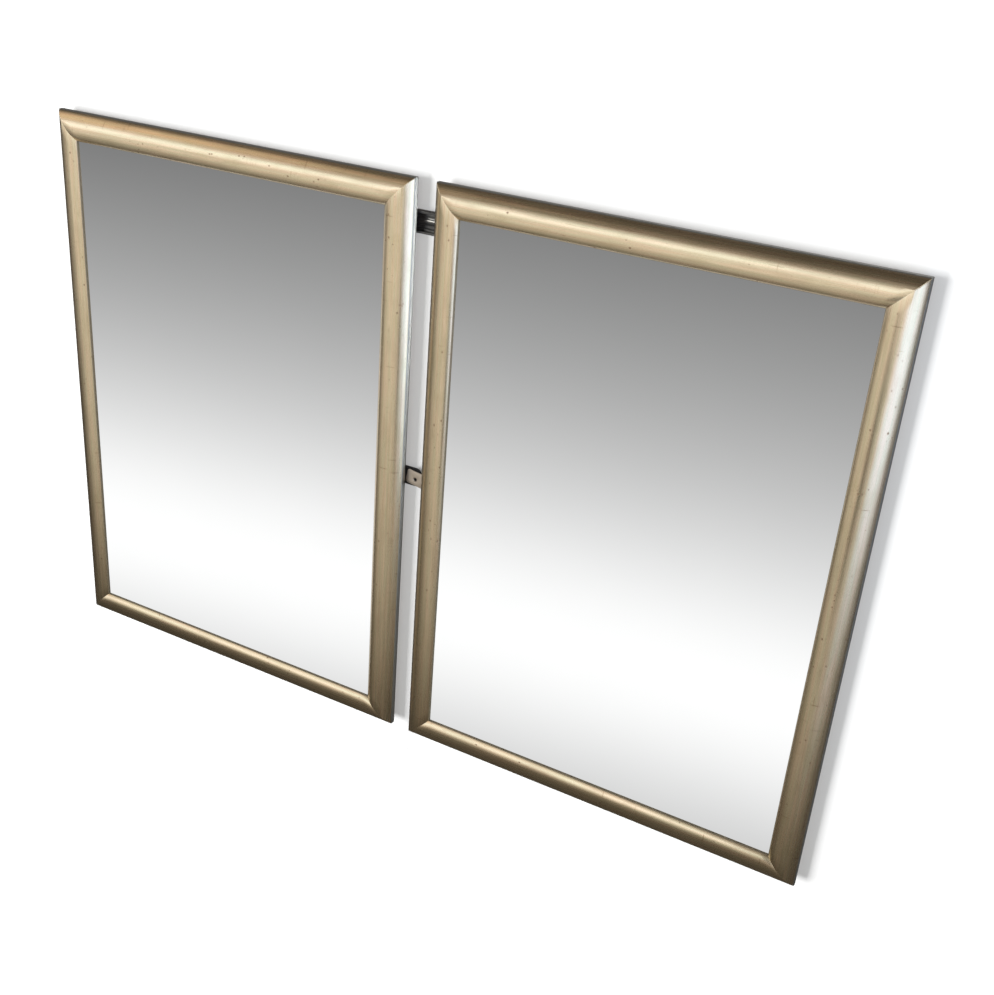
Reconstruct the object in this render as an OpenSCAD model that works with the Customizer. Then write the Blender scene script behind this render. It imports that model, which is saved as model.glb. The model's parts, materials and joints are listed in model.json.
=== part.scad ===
// Pair of framed mirrors that slide apart like shutters on one wall track.
// X runs to the right, Y into the wall and Z up. The origin is the middle of
// the track's wall side. Sizes are in millimetres.

/* [Leaf] */
// Width of the glass that shows in each leaf
sight_w = 700; // [450:10:850]
// Height of the glass that shows in each leaf
sight_h = 1000; // [700:10:1300]
// Gap between the two leaves when they are closed
leaf_gap = 40; // [30:1:60]

/* [Moulding] */
// Width of the moulding from the sight edge to the outer wall
face_w = 53; // [44:1:70]
// Thickness of the moulding at its crest
crest_h = 28; // [27:1:36]
// Distance of the crest from the sight edge
crest_in = 18; // [12:1:20]
// Height lost from the crest down to the sight edge
sight_drop = 7.6; // [6:0.2:8]
// Height of the flat outer wall
wall_h = 9; // [8:0.2:14]
// Width of the rebate that the glass sits in
rebate_w = 9; // [7:0.5:11]
// Depth of the rebate from the back of the moulding
rebate_d = 18; // [12:0.5:18]

/* [Glass and back] */
// Thickness of the mirror glass
glass_t = 4; // [3:0.5:5]
// Thickness of the hardboard back
board_t = 3; // [2:0.5:4]
// Room left round the glass and the board in the rebate
glass_room = 1; // [0.5:0.1:2]

/* [Framing hardware] */
// Length of a framing point, half of it in the wood
point_len = 14; // [10:1:16]
// Width of a framing point
point_w = 12; // [8:1:16]
// Thickness of a framing point
point_t = 0.6; // [0.4:0.1:1]
// Largest spacing of the framing points
point_step = 290; // [200:10:400]
// Length of each wing of a corner nail
nail_wing = 7; // [5:0.5:9]
// Thickness of a corner nail
nail_t = 0.8; // [0.6:0.1:1.2]
// Depth of a corner nail in the wood
nail_deep = 9; // [6:0.5:10]
// Distance of the first corner nail from the sight edge
nail_first = 18; // [14:1:20]
// Step from the first corner nail to the second
nail_step = 17; // [12:1:20]

/* [Track] */
// Height of the wall channel
channel_h = 38; // [38:1:48]
// Room from the wall to the back of the leaves
slide_depth = 16; // [15.6:0.1:20]
// Thickness of the channel's web
channel_web = 1.5; // [1.2:0.1:1.8]
// Distance from the top of a leaf down to the middle of the track
track_drop = 76; // [70:1:150]
// Distance from a leaf's outer edge to the end of the channel
channel_inset = 46; // [40:0.5:80]
// Width of the pressed bead along the channel
bead_w = 11; // [8:0.5:11]
// Height of the pressed bead
bead_h = 1.8; // [1.6:0.1:2.5]
// Width of the lip turned in at the channel's front edges
lip_w = 3.4; // [2.6:0.1:4]
// Thickness of the flanges that the balls run between
flange_t = 2; // [1.9:0.1:2.2]
// Thickness of the middle member's web
mid_web = 1.2; // [1:0.1:1.4]
// Thickness of the runner's web
runner_web = 1.4; // [1.2:0.1:1.6]
// Diameter of the bearing balls
ball_d = 4.8; // [4.6:0.1:5]
// Distance between two balls in a row
ball_step = 52; // [40:1:80]
// Room left round a ball in its groove
ball_room = 0.05; // [0.03:0.01:0.08]
// Distance from a leaf's inner edge to the end of its runner
runner_inset = 17; // [14:1:20]
// How far each leaf slides open
travel = 620; // [400:10:640]
// Diameter of the wall screw holes
wall_hole_d = 5.2; // [4:0.1:6]
// Height of the wall screw holes above and below the bead
wall_hole_z = 8.7; // [8.4:0.1:9.2]
// Distance of the end screw holes from the channel's ends
wall_hole_in = 60; // [30:5:100]
// Length of the rubber stops at the middle of the track
stop_len = 6; // [4:0.5:8]

/* [Screws] */
// Diameter of the wood screws
screw_d = 3.5; // [3:0.1:4]
// Diameter of the screw heads
head_d = 7; // [6.4:0.1:7.6]
// Height of the screw heads
head_h = 2; // [1.6:0.1:2.4]
// Length of the runner and keeper screws
screw_len = 14; // [10:1:18]
// Distance between two runner screws
screw_step = 12; // [10:0.5:13]

/* [Catch] */
// Height of the keeper plate
keeper_h = 28; // [26:1:36]
// Thickness of the keeper plate
keeper_t = 2; // [1.5:0.1:2]
// Reach of the keeper plate across the gap from its hole
keeper_reach = 19; // [14:0.5:20]
// Tilt of the keeper plate on its screws
keeper_tilt = 10; // [0:1:12]
// Height of the catch below the middle of the leaf
catch_drop = 1; // [0:1:60]
// Diameter of the open hole in the keeper plate
keeper_hole_d = 6; // [3:0.1:6.4]
// Height of the magnet holder
holder_h = 34; // [30:1:44]
// Thickness of the magnet holder
holder_t = 6.6; // [5.5:0.1:7]
// Diameter of the magnet
magnet_d = 12; // [8:0.5:14]
// Thickness of the magnet
magnet_t = 4; // [2:0.5:4.5]

/* [Wall spacers] */
// Width of the spacer blocks behind the foot of each leaf
block_w = 34; // [30:1:40]
// Height of the spacer blocks
block_h = 60; // [40:1:90]
// Height of the blocks above the foot of the leaf
block_up = 16; // [6:1:60]
// Diameter of the felt pads
felt_d = 30; // [20:1:30]
// Thickness of the felt pads
felt_t = 3; // [2:0.5:5]

/* [Hidden] */
$fn = 96;

gold = [0.76, 0.68, 0.52];
steel = [0.68, 0.68, 0.70];
black_steel = [0.07, 0.07, 0.075];
rubber = [0.05, 0.05, 0.05];
plastic = [0.04, 0.04, 0.045];
hardboard = [0.45, 0.33, 0.22];
felt = [0.30, 0.29, 0.27];
plate_steel = [0.62, 0.57, 0.50];

// Extra length that a cutter runs past a face
over = 1;
// Gap between pieces that seat on each other on different bodies
seat = 0.3;
// Room round a screw, nail or point in its hole
fit = 0.05;

// Leaf: outline and middle, given for the right-hand leaf
leaf_w = sight_w + 2 * face_w;
leaf_h = sight_h + 2 * face_w;
leaf_in = leaf_gap / 2;
leaf_out = leaf_in + leaf_w;
leaf_mid_x = leaf_in + leaf_w / 2;
leaf_top = track_drop;
leaf_foot = leaf_top - leaf_h;
leaf_mid_z = leaf_top - leaf_h / 2;
leaf_back = -slide_depth;

// Moulding: a tight roll at the sight edge and a long sweep to the outer wall
roll_r = (crest_in * crest_in + sight_drop * sight_drop) / (2 * sight_drop);
sweep_w = face_w - crest_in;
sweep_drop = crest_h - wall_h;
sweep_r = (sweep_w * sweep_w + sweep_drop * sweep_drop) / (2 * sweep_drop);

// Glass, board and what holds them, as depths from the back of the moulding
pane_w = sight_w + 2 * (rebate_w - glass_room);
pane_h = sight_h + 2 * (rebate_w - glass_room);
glass_front = rebate_d;
board_front = glass_front - glass_t;
board_back = board_front - board_t;
point_in = point_len / 2;

// Slide: half heights of the flanges, from the track's middle
ball_r = ball_d / 2;
groove_r = ball_r + ball_room;
flange_gap = ball_d - 1.8;
channel_in = channel_h / 2 - flange_t;
outer_ball_z = channel_in - flange_gap / 2;
mid_out = channel_in - flange_gap;
mid_in = mid_out - flange_t;
inner_ball_z = mid_in - flange_gap / 2;
runner_out = mid_in - flange_gap;
runner_in = runner_out - flange_t;

// Slide: depths from the wall
inner_ball_d = slide_depth - ball_r - 1.8;
outer_ball_d = inner_ball_d - ball_d + 0.7;
mid_back = outer_ball_d - ball_r - 0.9;
mid_front = slide_depth - 1.2;
channel_front = slide_depth - 3;
lip_t = 1.2;
runner_back = inner_ball_d - ball_r;
bead_r = (bead_w * bead_w / 4 + bead_h * bead_h) / (2 * bead_h);
bead_centre = channel_web + bead_h - bead_r;

// Slide: lengths, given for the right-hand side
channel_end = leaf_out - channel_inset;
runner_start = leaf_in + runner_inset;
runner_end = leaf_out - runner_inset;
mid_start = runner_start;
mid_end = channel_end - 10;
cage_start = mid_start + travel / 4 + 5;
cage_end = mid_end - travel / 4 - 5;
cage_t = 1.2;
cage_w = ball_d + 2.2;
ball_count = floor((cage_end - cage_start - 2 * cage_w) / ball_step) + 1;
ball_first = (cage_start + cage_end - (ball_count - 1) * ball_step) / 2;

// Slide: stops that end the opening travel
lug_len = 6;
lug_w = 3.2;
stop_pin_d = 2.6;
tab_len = 3;
tab_h = 12;
tab_pin_d = 6;
lug_z = mid_in - lug_w / 2;
lug_gap = 0.4;
wall_hole_x = [channel_end - wall_hole_in, mid_start + lug_len + travel / 2 + 40];

// Runner screws, from each end of the runner
screw_in = 9;
inner_screws = [runner_start + screw_in, runner_start + screw_in + screw_step];
outer_screws = [runner_end - screw_in, runner_end - screw_in - screw_step];

// Catch: the keeper hole's place, and depths from the back of the leaves
catch_z = leaf_mid_z - catch_drop;
keeper_hole_x = 0;
keeper_hole_low = 2.4;
keeper_front = 2.4;
keeper_back = keeper_front + keeper_t;
keeper_corner = 5;
keeper_crank_x = leaf_in - keeper_hole_x + 5;
keeper_foot_end = keeper_crank_x + 34;
keeper_screw_x = [keeper_crank_x + 11, keeper_crank_x + 25];
holder_front = keeper_back + 0.5;
holder_tip = 9;
holder_corner = 12;
holder_end = -leaf_in - (face_w - rebate_w) + 1;
holder_up = 3;
packing_in = -leaf_in - 8;
holder_screw_x = [holder_end + 9, holder_end + 25];
magnet_x = -14;

// Wall spacers
block_d = slide_depth - felt_t - seat;
block_x = [
    leaf_in + face_w - rebate_w - block_w / 2,
    leaf_out - face_w + rebate_w + block_w / 2
];
block_z = leaf_foot + block_up + block_h / 2;
block_screw_len = block_d + 9;

// ---- helpers ----

// Stretches a section drawn as [depth from the wall, height] along X
module along_x(from, to)
    translate([from, 0, 0]) rotate([90, 0, 90]) linear_extrude(to - from)
        mirror([1, 0, 0]) children();

// Puts a right-hand piece on the left
module on_left() mirror([1, 0, 0]) children();

// Round bar along Y from one depth behind the leaf's back plane to another
module bar_y(d, from, to)
    translate([0, leaf_back + from, 0]) rotate([-90, 0, 0]) cylinder(d = d, h = to - from);

// Pan-head wood screw, pointing at the viewer, head seated at depth at
module pan_screw(at) {
    difference() {
        bar_y(head_d, at, at + head_h);
        cross_recess(at + head_h);
    }
    bar_y(screw_d, at - screw_len, at);
}

// Flat-head wood screw with its head flush at depth at
module flat_screw(at, len) {
    difference() {
        translate([0, leaf_back + at - head_h, 0]) rotate([-90, 0, 0])
            cylinder(d1 = screw_d, d2 = head_d, h = head_h);
        cross_recess(at);
    }
    bar_y(screw_d, at - len, at - head_h);
}

// Hole for a flat-head screw
module flat_screw_hole(at, len) {
    translate([0, leaf_back + at - head_h, 0]) rotate([-90, 0, 0])
        cylinder(d1 = screw_d + 2 * fit, d2 = head_d + 2 * fit, h = head_h + fit);
    bar_y(screw_d + 2 * fit, at - len - fit, at - head_h + fit);
}

// Cross slot in a screw head that ends at depth at
module cross_recess(at)
    for (turn = [0, 90]) rotate([0, turn, 0])
        translate([-head_d * 0.3, leaf_back + at - head_h * 0.5, -head_d * 0.06])
            cube([head_d * 0.6, head_h, head_d * 0.12]);

// ---- leaf ----

// Section of the moulding: distance from the sight edge, depth towards the viewer
module moulding_section() {
    intersection() {
        translate([crest_in, crest_h - roll_r]) circle(r = roll_r);
        translate([0, rebate_d]) square([crest_in, crest_h - rebate_d]);
    }
    if (crest_h - roll_r > rebate_d)
        translate([0, rebate_d]) square([crest_in, crest_h - roll_r - rebate_d]);
    intersection() {
        translate([crest_in, crest_h - sweep_r]) circle(r = sweep_r);
        translate([crest_in, 0]) square([sweep_w, crest_h]);
    }
    translate([rebate_w, 0]) square([crest_in - rebate_w, rebate_d]);
}

// Mitred length of moulding: sight edge on Z, face towards -Y, outer wall at +X
module moulding(length) {
    intersection() {
        mirror([0, 1, 0]) translate([0, 0, -length / 2])
            linear_extrude(length) moulding_section();
        translate([0, over, 0]) rotate([90, 0, 0]) linear_extrude(crest_h + 2 * over)
            polygon([
                [0, face_w - length / 2], [face_w, -length / 2],
                [face_w, length / 2], [0, length / 2 - face_w]
            ]);
    }
}

// Repeats a corner piece at the four sight corners, turned to each corner
module at_corners()
    for (sx = [0, 1], sz = [0, 1])
        translate([leaf_mid_x, leaf_back, leaf_mid_z])
            mirror([sx, 0, 0]) mirror([0, 0, sz])
                translate([sight_w / 2, 0, sight_h / 2]) children();

// Corner nails of one leaf: grow is the room round them
module nails(grow)
    at_corners()
        for (i = [0, 1]) translate([nail_first + i * nail_step, 0, nail_first + i * nail_step])
            for (leg = [[nail_wing, nail_t], [nail_t, nail_wing]])
                translate([-grow, -nail_deep - grow, -grow])
                    cube([leg[0] + 2 * grow, nail_deep + grow, leg[1] + 2 * grow]);

// Framing points along one sight edge of a given length
module points_along(length, grow) {
    count = ceil(length / point_step);
    for (i = [0 : count - 1])
        translate([
            rebate_w - point_in - grow, -board_back - grow,
            (i + 0.5) * length / count - length / 2 - point_w / 2 - grow
        ])
            cube([point_len + 2 * grow, point_t + 2 * grow, point_w + 2 * grow]);
}

// The four sight edges of a leaf, each drawn as the moulding is
module top_edge()
    translate([leaf_mid_x, leaf_back, leaf_top - face_w]) rotate([0, -90, 0]) children();
module bottom_edge()
    translate([leaf_mid_x, leaf_back, leaf_foot + face_w]) rotate([0, 90, 0]) children();
module inner_edge()
    translate([leaf_in + face_w, leaf_back, leaf_mid_z]) mirror([1, 0, 0]) children();
module outer_edge()
    translate([leaf_out - face_w, leaf_back, leaf_mid_z]) children();

module rail_of_moulding(top) {
    difference() {
        if (top) top_edge() moulding(leaf_w); else bottom_edge() moulding(leaf_w);
        if (top) top_edge() points_along(sight_w, fit);
        else bottom_edge() points_along(sight_w, fit);
        nails(fit);
    }
}

module stile_of_moulding(inner) {
    difference() {
        if (inner) inner_edge() moulding(leaf_h); else outer_edge() moulding(leaf_h);
        if (inner) inner_edge() points_along(sight_h, fit);
        else outer_edge() points_along(sight_h, fit);
        nails(fit);
        for (x = inner ? inner_screws : outer_screws)
            translate([x, 0, 0])
                bar_y(screw_d + 2 * fit, runner_web - screw_len - fit, over);
        translate([block_x[inner ? 0 : 1], 0, block_z])
            bar_y(screw_d + 2 * fit, block_d - block_screw_len - fit, over);
    }
}

module pane(front, thickness)
    translate([
        leaf_mid_x - pane_w / 2, leaf_back - front, leaf_mid_z - pane_h / 2
    ])
        cube([pane_w, thickness, pane_h]);

module framing_points() {
    top_edge() points_along(sight_w, 0);
    bottom_edge() points_along(sight_w, 0);
    inner_edge() points_along(sight_h, 0);
    outer_edge() points_along(sight_h, 0);
}

module blocks()
    for (x = block_x)
        difference() {
            translate([x - block_w / 2, leaf_back, block_z - block_h / 2])
                cube([block_w, block_d, block_h]);
            translate([x, 0, block_z]) flat_screw_hole(block_d, block_screw_len);
        }

module pads()
    for (x = block_x) translate([x, 0, block_z]) bar_y(felt_d, block_d, block_d + felt_t);

module block_fixings()
    for (x = block_x) translate([x, 0, block_z]) flat_screw(block_d, block_screw_len);

// ---- slide ----

// Ball grooves along the slide, at the given half height and depth
module grooves(z, depth)
    for (side = [-1, 1]) translate([depth, side * z]) circle(r = groove_r);

module channel_section()
    difference() {
        union() {
            translate([0, -channel_h / 2]) square([channel_web, channel_h]);
            intersection() {
                translate([bead_centre, 0]) circle(r = bead_r);
                translate([0, -bead_w]) square([channel_front, 2 * bead_w]);
            }
            for (side = [0, 1]) mirror([0, side]) {
                translate([0, channel_in]) square([channel_front, flange_t]);
                translate([channel_front - lip_t, channel_h / 2 - lip_w])
                    square([lip_t, lip_w]);
            }
        }
        translate([bead_centre, 0]) circle(r = bead_r - channel_web);
        grooves(outer_ball_z, outer_ball_d);
    }

module wall_holes()
    for (x = wall_hole_x, end = [-1, 1], side = [-1, 1])
        translate([end * x, over, side * wall_hole_z]) rotate([90, 0, 0])
            cylinder(d = wall_hole_d, h = channel_web + 2 * over);

// Pin on the channel's web that ends the middle member's travel
module channel_stop_pins()
    for (side = [0, 1], end = [0, 1]) mirror([side, 0, 0]) mirror([0, 0, end])
        translate([
            mid_start + lug_len + travel / 2 + seat + stop_pin_d / 2, 0, lug_z
        ])
            rotate([90, 0, 0]) cylinder(d = stop_pin_d, h = mid_back - lug_gap);

module middle_section()
    difference() {
        union() {
            translate([mid_back, -mid_out]) square([mid_web, 2 * mid_out]);
            for (side = [0, 1]) mirror([0, side])
                translate([mid_back, mid_in]) square([mid_front - mid_back, flange_t]);
        }
        grooves(outer_ball_z, outer_ball_d);
        grooves(inner_ball_z, inner_ball_d);
    }

module middle_member() {
    along_x(mid_start, mid_end) middle_section();
    for (side = [0, 1]) mirror([0, 0, side])
        translate([mid_start, -mid_back - mid_web / 2, lug_z - lug_w / 2])
            cube([lug_len, mid_back + mid_web / 2 - channel_web - lug_gap, lug_w]);
    translate([runner_start + tab_len + travel / 2 + seat + tab_pin_d / 2, -mid_back, 0])
        rotate([90, 0, 0]) cylinder(d = tab_pin_d, h = mid_web + 2.6);
}

module runner_section()
    difference() {
        union() {
            translate([slide_depth - runner_web, -runner_out])
                square([runner_web, 2 * runner_out]);
            for (side = [0, 1]) mirror([0, side])
                translate([runner_back, runner_in])
                    square([slide_depth - runner_back, flange_t]);
        }
        grooves(inner_ball_z, inner_ball_d);
    }

module runner()
    difference() {
        union() {
            along_x(runner_start, runner_end) runner_section();
            translate([runner_start, leaf_back + runner_web / 2, -tab_h / 2])
                cube([tab_len, slide_depth - mid_back - mid_web - 0.6 - runner_web / 2, tab_h]);
        }
        for (x = concat(inner_screws, outer_screws))
            translate([x, 0, 0]) bar_y(screw_d + 2 * fit, -over, runner_web + over);
    }

module runner_fixings()
    for (x = concat(inner_screws, outer_screws)) translate([x, 0, 0]) pan_screw(runner_web);

// Two strips with a row of holes for the balls
module cage(z, depth)
    for (side = [-1, 1])
        difference() {
            translate([cage_start, -depth - cage_w / 2, side * z - cage_t / 2])
                cube([cage_end - cage_start, cage_w, cage_t]);
            for (i = [0 : ball_count - 1])
                translate([ball_first + i * ball_step, -depth, side * z - cage_t])
                    cylinder(d = ball_d + 4 * fit, h = 2 * cage_t);
        }

module balls(z, depth)
    for (side = [-1, 1], i = [0 : ball_count - 1])
        translate([ball_first + i * ball_step, -depth, side * z]) sphere(d = ball_d, $fn = 48);

// Rubber block in the channel that the closed middle member rests against
module stop_block()
    difference() {
        translate([mid_start - seat - stop_len, -mid_front + 2, -mid_in])
            cube([stop_len, mid_front - 2 - channel_web, 2 * mid_in]);
        along_x(mid_start - stop_len - 2, mid_start)
            translate([bead_centre, 0]) circle(r = bead_r + fit);
    }

// ---- catch ----

// Frame of the keeper plate: the middle of its height, tilted
module at_keeper()
    translate([keeper_hole_x, 0, catch_z + keeper_hole_low]) rotate([0, keeper_tilt, 0])
        children();

module keeper_outline() {
    translate([keeper_corner - keeper_reach, -keeper_h / 2])
        square([keeper_foot_end + keeper_reach - keeper_corner, keeper_h]);
    translate([-keeper_reach, keeper_corner - keeper_h / 2])
        square([2 * keeper_corner, keeper_h - 2 * keeper_corner]);
    for (side = [-1, 1])
        translate([keeper_corner - keeper_reach, side * (keeper_h / 2 - keeper_corner)])
            circle(r = keeper_corner);
}

// Top view of the cranked strip: tongue across the gap, foot on the leaf
module keeper_strip()
    polygon([
        [-keeper_reach, leaf_back + keeper_front],
        [keeper_crank_x - 2 - keeper_t, leaf_back + keeper_front],
        [keeper_crank_x - 2, leaf_back],
        [keeper_foot_end, leaf_back],
        [keeper_foot_end, leaf_back + keeper_t],
        [keeper_crank_x, leaf_back + keeper_t],
        [keeper_crank_x - 2, leaf_back + keeper_back],
        [-keeper_reach, leaf_back + keeper_back]
    ]);

module keeper_holes(depth)
    for (x = keeper_screw_x) translate([x, 0, 0]) bar_y(screw_d + 2 * fit, depth, keeper_t + over);

// The holder from the front, with rounded corners at its tip
module holder_outline() {
    translate([holder_end, -holder_h / 2])
        square([holder_tip - holder_corner - holder_end, holder_h]);
    translate([holder_tip - 2 * holder_corner, holder_corner - holder_h / 2])
        square([2 * holder_corner, holder_h - 2 * holder_corner]);
    for (side = [-1, 1])
        translate([holder_tip - holder_corner, side * (holder_h / 2 - holder_corner)])
            circle(r = holder_corner);
}

module at_holder() translate([0, 0, catch_z + holder_up]) children();

module front_plate(from, to)
    translate([0, leaf_back + to, 0]) rotate([90, 0, 0]) linear_extrude(to - from) children();

// ---- nodes ----

module track_channel() color(black_steel) {
    difference() {
        along_x(-channel_end, channel_end) channel_section();
        wall_holes();
    }
    channel_stop_pins();
}
module centre_stops() color(rubber) { stop_block(); on_left() stop_block(); }

module right_top_rail() color(gold) rail_of_moulding(true);
module right_bottom_rail() color(gold) rail_of_moulding(false);
module right_inner_stile() color(gold)
    difference() {
        stile_of_moulding(true);
        at_keeper() keeper_holes(keeper_t - screw_len - fit);
    }
module right_outer_stile() color(gold) stile_of_moulding(false);
module right_mirror() color(steel) pane(glass_front, glass_t);
module right_backing_board() color(hardboard) pane(board_front, board_t);
module right_framing_points() color(steel) framing_points();
module right_corner_nails() color(steel) nails(0);
module right_spacer_blocks() color(hardboard) blocks();
module right_felt_pads() color(felt) pads();
module right_block_screws() color(steel) block_fixings();
module right_runner() color(black_steel) runner();
module right_runner_screws() color(steel) runner_fixings();
module right_middle_member() color(black_steel) middle_member();
module right_outer_cage() color(steel) cage(outer_ball_z, outer_ball_d);
module right_outer_balls() color(steel) balls(outer_ball_z, outer_ball_d);
module right_inner_cage() color(steel) cage(inner_ball_z, inner_ball_d);
module right_inner_balls() color(steel) balls(inner_ball_z, inner_ball_d);

module left_top_rail() color(gold) on_left() rail_of_moulding(true);
module left_bottom_rail() color(gold) on_left() rail_of_moulding(false);
module left_inner_stile() color(gold)
    difference() {
        on_left() stile_of_moulding(true);
        at_holder() for (x = holder_screw_x)
            translate([x, 0, 0])
                bar_y(screw_d + 2 * fit, holder_front + holder_t - 24 - fit, over);
    }
module left_outer_stile() color(gold) on_left() stile_of_moulding(false);
module left_mirror() color(steel) on_left() pane(glass_front, glass_t);
module left_backing_board() color(hardboard) on_left() pane(board_front, board_t);
module left_framing_points() color(steel) on_left() framing_points();
module left_corner_nails() color(steel) on_left() nails(0);
module left_spacer_blocks() color(hardboard) on_left() blocks();
module left_felt_pads() color(felt) on_left() pads();
module left_block_screws() color(steel) on_left() block_fixings();
module left_runner() color(black_steel) on_left() runner();
module left_runner_screws() color(steel) on_left() runner_fixings();
module left_middle_member() color(black_steel) on_left() middle_member();
module left_outer_cage() color(steel) on_left() cage(outer_ball_z, outer_ball_d);
module left_outer_balls() color(steel) on_left() balls(outer_ball_z, outer_ball_d);
module left_inner_cage() color(steel) on_left() cage(inner_ball_z, inner_ball_d);
module left_inner_balls() color(steel) on_left() balls(inner_ball_z, inner_ball_d);

module keeper_plate() color(plate_steel)
    at_keeper() difference() {
        intersection() {
            translate([0, 0, -keeper_h]) linear_extrude(2 * keeper_h) keeper_strip();
            front_plate(-over, keeper_back + over) keeper_outline();
        }
        translate([0, 0, -keeper_hole_low]) bar_y(keeper_hole_d, 0, keeper_back + over);
        translate([0, leaf_back + keeper_front, -keeper_hole_low]) rotate([-90, 0, 0])
            cylinder(d1 = keeper_hole_d + 3, d2 = keeper_hole_d, h = keeper_t * 0.7);
        keeper_holes(-over);
    }
module keeper_screws() color(steel)
    at_keeper() for (x = keeper_screw_x) translate([x, 0, 0]) pan_screw(keeper_t);
module magnet_holder() color(plastic)
    at_holder() difference() {
        front_plate(holder_front, holder_front + holder_t) holder_outline();
        translate([magnet_x, 0, 0]) bar_y(magnet_d + 2 * fit, holder_front - over, holder_front + magnet_t);
        for (x = holder_screw_x)
            translate([x, 0, 0]) flat_screw_hole(holder_front + holder_t, 24);
    }
module holder_packing() color(plastic)
    at_holder() difference() {
        front_plate(0, holder_front)
            translate([holder_end, -holder_h / 2]) square([packing_in - holder_end, holder_h]);
        for (x = holder_screw_x)
            translate([x, 0, 0]) bar_y(screw_d + 2 * fit, -over, holder_front + over);
    }
module holder_screws() color(steel)
    at_holder() for (x = holder_screw_x) translate([x, 0, 0]) flat_screw(holder_front + holder_t, 24);
module magnet() color(steel)
    at_holder() translate([magnet_x, 0, 0]) bar_y(magnet_d, holder_front, holder_front + magnet_t);

track_channel();
centre_stops();
left_top_rail();
left_bottom_rail();
left_inner_stile();
left_outer_stile();
left_mirror();
left_backing_board();
left_framing_points();
left_corner_nails();
left_spacer_blocks();
left_felt_pads();
left_block_screws();
left_runner();
left_runner_screws();
left_middle_member();
left_outer_cage();
left_outer_balls();
left_inner_cage();
left_inner_balls();
magnet_holder();
holder_packing();
holder_screws();
magnet();
right_top_rail();
right_bottom_rail();
right_inner_stile();
right_outer_stile();
right_mirror();
right_backing_board();
right_framing_points();
right_corner_nails();
right_spacer_blocks();
right_felt_pads();
right_block_screws();
right_runner();
right_runner_screws();
right_middle_member();
right_outer_cage();
right_outer_balls();
right_inner_cage();
right_inner_balls();
keeper_plate();
keeper_screws();
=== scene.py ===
"""Pair of framed mirrors on one sliding track: finishes, formed pieces and stage.

X runs to the right, Y into the wall, Z up, in metres. The origin is the middle
of the track's wall side.
"""
import json
import math

import bmesh
import bpy
from mathutils import Matrix, Vector

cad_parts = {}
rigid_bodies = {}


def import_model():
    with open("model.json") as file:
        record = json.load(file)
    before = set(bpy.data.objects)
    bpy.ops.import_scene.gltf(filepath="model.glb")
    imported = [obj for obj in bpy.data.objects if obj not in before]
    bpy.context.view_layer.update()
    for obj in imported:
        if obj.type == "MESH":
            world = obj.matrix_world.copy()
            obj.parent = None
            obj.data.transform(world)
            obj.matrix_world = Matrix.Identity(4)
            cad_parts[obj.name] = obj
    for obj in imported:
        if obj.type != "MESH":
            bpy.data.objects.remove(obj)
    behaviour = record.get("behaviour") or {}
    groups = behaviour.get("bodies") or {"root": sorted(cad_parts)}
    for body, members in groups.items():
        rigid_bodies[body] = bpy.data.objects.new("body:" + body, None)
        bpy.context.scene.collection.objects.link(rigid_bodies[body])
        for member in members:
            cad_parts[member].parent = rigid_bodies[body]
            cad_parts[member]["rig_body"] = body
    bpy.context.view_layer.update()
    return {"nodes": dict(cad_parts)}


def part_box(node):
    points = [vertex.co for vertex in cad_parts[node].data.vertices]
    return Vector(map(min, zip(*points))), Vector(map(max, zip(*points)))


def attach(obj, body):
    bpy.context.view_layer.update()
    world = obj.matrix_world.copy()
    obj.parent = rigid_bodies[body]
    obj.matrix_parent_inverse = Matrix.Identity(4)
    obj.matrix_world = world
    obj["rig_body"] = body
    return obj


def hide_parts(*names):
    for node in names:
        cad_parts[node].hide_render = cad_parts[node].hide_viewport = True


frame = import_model()
NODES = frame["nodes"]

# ---- sizes of the moulding, in metres ----
FACE_W = 0.053           # from the sight edge to the outer wall
CREST_H = 0.028          # thickness at the crest
CREST_IN = 0.018         # crest's distance from the sight edge
SIGHT_DROP = 0.0076      # fall from the crest to the sight edge
WALL_H = 0.009           # height of the outer wall
REBATE_W = 0.009
REBATE_D = 0.018
ARRIS_R = 0.0022         # rounding of the outer arris
LIP_R = 0.0006           # rounding of the sight edge
GROOVE = 0.012           # share by which the section shrinks at a mitre
GROOVE_LEN = 0.0007      # length over which it shrinks
RINGS = 48               # rings along one length of moulding
BACK_Y = -0.016          # the leaves' back
BALL_COUNT = 8           # balls in one row of a bearing
RUN_STEP = 3.1           # shift of the leaf's pattern from one length to the next, and for
RUN_RIGHT = 7.7          # the right leaf, so that no two show the same stretch
HARD = 35                # corners sharper than this many degrees are eased
# Places along the section's outline, which the mouldings' map runs across
LIP_AT = REBATE_W + CREST_H - SIGHT_DROP   # the sight edge
EDGE_AT = 0.0893                           # the start of the outer arris
SEAT_AT = EDGE_AT + 0.0069                 # the part of the outer wall next to the back


def arc_radius(width, drop):
    """Radius of an arc that starts level and falls by drop over width."""
    return (width * width + drop * drop) / (2 * drop)


ROLL_R = arc_radius(CREST_IN, SIGHT_DROP)
SWEEP_R = arc_radius(FACE_W - CREST_IN, CREST_H - WALL_H)
ROLL_TURN = math.degrees(math.asin(CREST_IN / ROLL_R))
SWEEP_TURN = math.degrees(math.asin((FACE_W - CREST_IN) / SWEEP_R))


# ---- node trees written as expressions ----

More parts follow.
